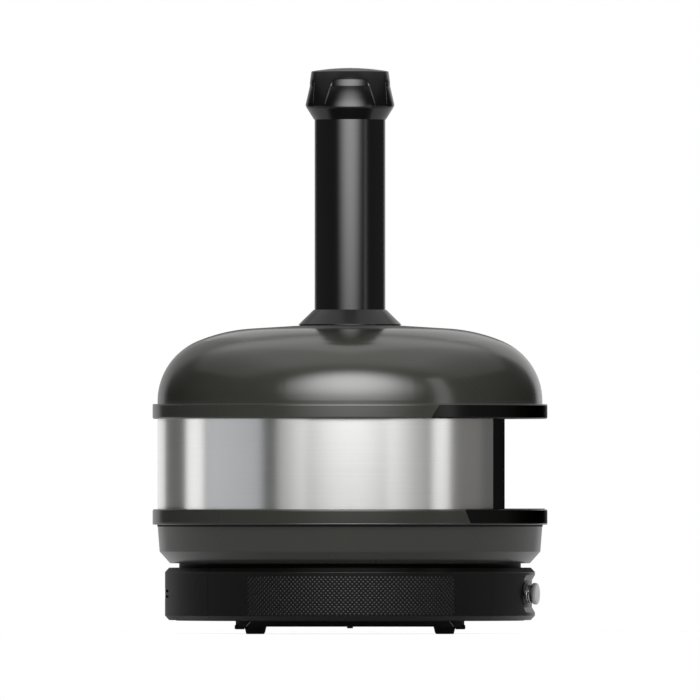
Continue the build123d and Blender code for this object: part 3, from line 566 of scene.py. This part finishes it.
def foot_arms(materials):
    """Thin slanted edge of each foot's bracket on the left and right faces of the plate."""
    arms = bmesh.new()
    for mirror_x in (-1, 1):
        for mirror_y in (-1, 1):
            loops = []
            for x, z in ARM_ENDS:
                corners = ((x - ARM_W, ARM_INNER_Y), (x - ARM_W / 2, ARM_OUTER_Y),
                           (x + ARM_W / 2, ARM_OUTER_Y), (x + ARM_W, ARM_INNER_Y))
                spots = [Vector((mirror_x * u, mirror_y * v, z)) * MM for u, v in corners]
                loops.append([arms.verts.new(spot) for spot in spots])
            add_skin(arms, loops)
    bmesh.ops.recalc_face_normals(arms, faces=arms.faces)
    mesh = to_mesh("foot_arms", arms)
    add_piece("foot_arms", mesh, "oven", materials["zinc_steel"])
    mesh.set_sharp_from_angle(angle=math.radians(ARM_SHARP))


def value_at(stops, place):
    """Value at a place on a line through (place, value) stops."""
    for (low, first), (high, second) in zip(stops, stops[1:]):
        if place <= high:
            return first + (second - first) * max(place - low, 0) / (high - low)
    return stops[-1][1]


def ease(value):
    value = min(max(value, 0.0), 1.0)
    return value * value * (3 - 2 * value)


def in_grip(angle, z):
    """How far a spot on the cap lies inside a finger grip, from 0 on the frame to 1 on the grip's floor,
    and how strongly the bevel at the grip's top bends it."""
    spacing = 360 / GRIPS
    offset = (angle + spacing / 2) % spacing - spacing / 2
    side = value_at(CAP_FRAME, z) * abs(math.sin(math.radians(offset)))
    from_top = max(GRIP_TOP - z, 0)
    corner = max(GRIP_CORNER - from_top, 0)
    half = value_at(GRIP_HALF, z) - GRIP_CORNER + math.sqrt(GRIP_CORNER ** 2 - corner ** 2)
    across = ease((half - side) / GRIP_WALL)
    down = from_top / GRIP_BEVEL
    inside = across * ease(down) * ease((z - GRIP_FOOT) / GRIP_WALL)
    bevel = across * ease(down / BEVEL_EDGE) * ease((1 - down) / BEVEL_EDGE)
    return inside, bevel


def cap_radius(angle, z):
    inside, _ = in_grip(angle, z)
    return value_at(CAP_FRAME, z) * (1 - inside) + value_at(CAP_FLOOR, z) * inside


def leaning(angle, lean):
    """Direction out from the axis at an angle, leaning up."""
    turn, up = math.radians(angle), math.radians(lean)
    return (math.cos(up) * math.cos(turn), math.cos(up) * math.sin(turn), math.sin(up))


def cap_normal(angle, z):
    """Soft normal: its lean follows the frame or the grip's floor, and it turns on the grip's side walls."""
    inside, bevel = in_grip(angle, z)
    lean = value_at(FRAME_LEAN, z) * (1 - inside) + value_at(FLOOR_LEAN, z) * inside
    growth = cap_radius(angle + NORMAL_STEP, z) - cap_radius(angle - NORMAL_STEP, z)
    slope = growth / (math.radians(2 * NORMAL_STEP) * cap_radius(angle, z))
    return leaning(angle - math.degrees(math.atan(slope)), lean - BEVEL_DIP * bevel)


def chimney_cap(materials):
    """Flared cap with four soft-edged finger grips, a domed top and a socket inside."""
    angles = [360 * n / CAP_COLUMNS for n in range(CAP_COLUMNS)]
    verts, faces, normals = [], [], []

    def add_ring(radii, z):
        first = len(verts)
        for angle, radius in zip(angles, radii):
            turn = math.radians(angle)
            verts.append((radius * math.cos(turn) * MM, radius * math.sin(turn) * MM, z * MM))
        return range(first, len(verts))

    def add_round(radius, z):
        return add_ring([radius] * CAP_COLUMNS, z)

    def add_band(low, high, low_normal, high_normal, order=1):
        low_bends = [low_normal(angle) for angle in angles]
        high_bends = [high_normal(angle) for angle in angles]
        for n in range(CAP_COLUMNS):
            m = (n + 1) % CAP_COLUMNS
            faces.append([low[n], low[m], high[m], high[n]][::order])
            normals.extend([low_bends[n], low_bends[m], high_bends[m], high_bends[n]][::order])

    def close(ring, order):
        faces.append(list(ring)[::order])
        normals.extend([(0, 0, order)] * CAP_COLUMNS)

    grip_rows = [GRIP_FOOT + (GRIP_TOP - GRIP_FOOT) * n / CAP_ROWS for n in range(CAP_ROWS + 1)]
    levels = CAP_LOW_ROWS + grip_rows + CAP_HIGH_ROWS
    rings = [add_ring([cap_radius(angle, z) for angle in angles], z) for z in levels]
    bends = [partial(cap_normal, z=z) for z in levels]
    for n in range(len(levels) - 1):
        add_band(rings[n], rings[n + 1], bends[n], bends[n + 1])

    last, lean = rings[-1], FRAME_LEAN[-1][1]
    for radius, z, next_lean in CAP_CROWN:
        ring = add_round(radius, z)
        add_band(last, ring, partial(leaning, lean=lean), partial(leaning, lean=next_lean))
        last, lean = ring, next_lean
    close(last, 1)

    last, radius, z = rings[0], value_at(CAP_FRAME, levels[0]), levels[0]
    for next_radius, next_z in CAP_SOCKET:
        ring = add_round(next_radius, next_z)
        bend = partial(leaning, lean=math.degrees(math.atan2(next_radius - radius, z - next_z)))
        add_band(last, ring, bend, bend, order=-1)
        last, radius, z = ring, next_radius, next_z
    close(last, -1)

    mesh = bpy.data.meshes.new("chimney_cap_skin")
    mesh.from_pydata(verts, [], faces)
    cap = add_piece("chimney_cap_skin", mesh, "flue_cap", materials["flue_black"])
    mesh.normals_split_custom_set(normals)
    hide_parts("chimney_cap")


def aim_at(obj, place, target):
    """Put a camera or lamp at a place, facing a target."""
    bpy.context.collection.objects.link(obj)
    obj.location = place
    obj.rotation_euler = (Vector(target) - Vector(place)).to_track_quat("-Z", "Y").to_euler()


def make_camera():
    camera = bpy.data.objects.new("camera", bpy.data.cameras.new("camera"))
    aim_at(camera, (0, -CAMERA_DISTANCE, CAMERA_Z), (0, 0, TARGET_Z))
    camera.data.sensor_width = SENSOR
    camera.data.lens = SENSOR * CAMERA_DISTANCE / VIEW_WIDTH
    camera.data.clip_start = CLIP_START
    camera.data.clip_end = CLIP_END
    bpy.context.scene.camera = camera


def light_group(name, objects):
    group = bpy.data.collections.new(name)
    for obj in objects:
        group.objects.link(obj)
    return group


def softbox(name, lamp, only=()):
    """Rectangular lamp of a given radiance that faces a target; with only, it lights just those objects."""
    width, height = lamp.size
    data = bpy.data.lights.new(name, "AREA")
    data.shape = "RECTANGLE"
    data.color = lamp.colour
    data.size = width
    data.size_y = height
    data.energy = lamp.radiance * math.pi * width * height
    obj = bpy.data.objects.new(name, data)
    aim_at(obj, lamp.place, lamp.target)
    obj.visible_camera = False
    if only:
        obj.light_linking.receiver_collection = light_group(f"{name}_lit", only)
    return obj


def fade_out(lamp, upwards, sides=(), middle=()):
    """Dim a lamp along its height, towards its two sides or away from its middle, like a lit silk."""
    tree = Tree(lamp.data)
    spot = tree.add("NewGeometry")["Parametric"]
    parts = tree.parts(spot)
    glow = tree.ramp(parts["Y"], upwards)
    if sides:
        from_line = tree.maths("ABSOLUTE", tree.maths("SUBTRACT", parts["X"], LAMP_MIDDLE))
        glow = tree.maths("MULTIPLY", tree.ramp(from_line, sides), glow)
    if middle:
        from_middle = tree.vector("DISTANCE", spot, (LAMP_MIDDLE, LAMP_MIDDLE, 0.0))
        glow = tree.maths("MULTIPLY", tree.ramp(from_middle, middle), glow)
    tree.feed(tree.inputs("Emission"), {"Strength": glow})


def make_lights(knobs):
    """Lamps for the whole oven, then for the band, the chamber and the knobs, which the key leaves out."""
    lamps = {name: softbox(name, lamp) for name, lamp in ROOM_LAMPS.items()}
    fade_out(lamps["key"], KEY_FOOT, middle=KEY_FADE)
    fade_out(lamps["overhead"], OVERHEAD_DEPTH, sides=OVERHEAD_SIDE)
    band = [frame["nodes"]["steel_band"]]
    chamber = [frame["nodes"][node] for node in CHAMBER]
    for group, objects in ((BAND_LAMPS, band), (CHAMBER_LAMPS, chamber), (KNOB_LAMPS, knobs)):
        for name, lamp in group.items():
            softbox(name, lamp, objects)
    unlit = light_group("key_unlit", knobs)
    for member in unlit.collection_objects:
        member.light_linking.link_state = "EXCLUDE"
    lamps["key"].light_linking.receiver_collection = unlit


def make_world():
    """White for the camera; reflections see a grey floor, a pale wall behind the object and a dim room."""
    world = bpy.data.worlds.new("studio")
    bpy.context.scene.world = world
    tree = Tree(world)
    rays = tree.add("LightPath")
    view = tree.add("TexCoord")["Generated"]
    level = tree.vector("NORMALIZE", tree.vector("MULTIPLY", view, (1, 1, 0)))
    turn = tree.rise(tree.vector("DOT_PRODUCT", level, BACKDROP), -1.0, 1.0)
    height = tree.parts(view)["Z"]
    room = tree.ramp(turn, GROUND_STOPS)
    for (start, end), stops in ((HORIZON, WALL_STOPS), (WALL_RISE, HIGH_WALL_STOPS)):
        room = tree.blend(tree.rise(height, start, end), room, tree.ramp(turn, stops))
    lighting = tree.blend(rays["Is Glossy Ray"], rgba(AMBIENT), room)
    shown = tree.maths("MAXIMUM", rays["Is Camera Ray"], rays["Is Transmission Ray"])
    seen = tree.blend(shown, lighting, rgba(WHITE))
    tree.feed(tree.inputs("Background"), {"Color": seen, "Strength": 1.0})


def make_floor():
    """Pale floor that stays white to the camera, keeps the shadow and fades out into the background."""
    disc = bmesh.new()
    bmesh.ops.create_circle(disc, cap_ends=True, radius=FLOOR_R, segments=FLOOR_SIDES)
    mesh = to_mesh("floor", disc)
    floor = bpy.data.objects.new("floor", mesh)
    bpy.context.collection.objects.link(floor)
    floor.location.z = FLOOR_Z
    material, tree, inputs, place = new_material("floor")
    mesh.materials.append(material)
    rays = tree.add("LightPath")
    far = tree.maths("MULTIPLY", tree.rise(tree.parts(place)["Y"], *FLOOR_FAR), FLOOR_GLEAM)
    gleam = tree.maths("MULTIPLY", far, rays["Is Glossy Ray"])
    tree.feed(inputs, {
        "Base Color": rgba(FLOOR_GREY),
        "Roughness": FLOOR_ROUGH,
        "Specular IOR Level": FLOOR_SPECULAR,
        "Emission Color": rgba(WHITE),
        "Emission Strength": tree.maths("MULTIPLY_ADD", rays["Is Camera Ray"], FLOOR_GLOW, gleam),
        "Alpha": tree.rise(tree.vector("LENGTH", place), *FLOOR_FADE),
    })


materials = make_materials()
dress_nodes(materials)
knobs = []
for label, direction in SIDES.items():
    grip_dots(label, direction, materials)
    knobs += knob(label, direction, materials)
rim_details(materials)
foot_arms(materials)
chimney_cap(materials)
make_camera()
make_lights(knobs)
make_world()
make_floor()
bpy.context.scene.view_settings.view_transform = "Standard"
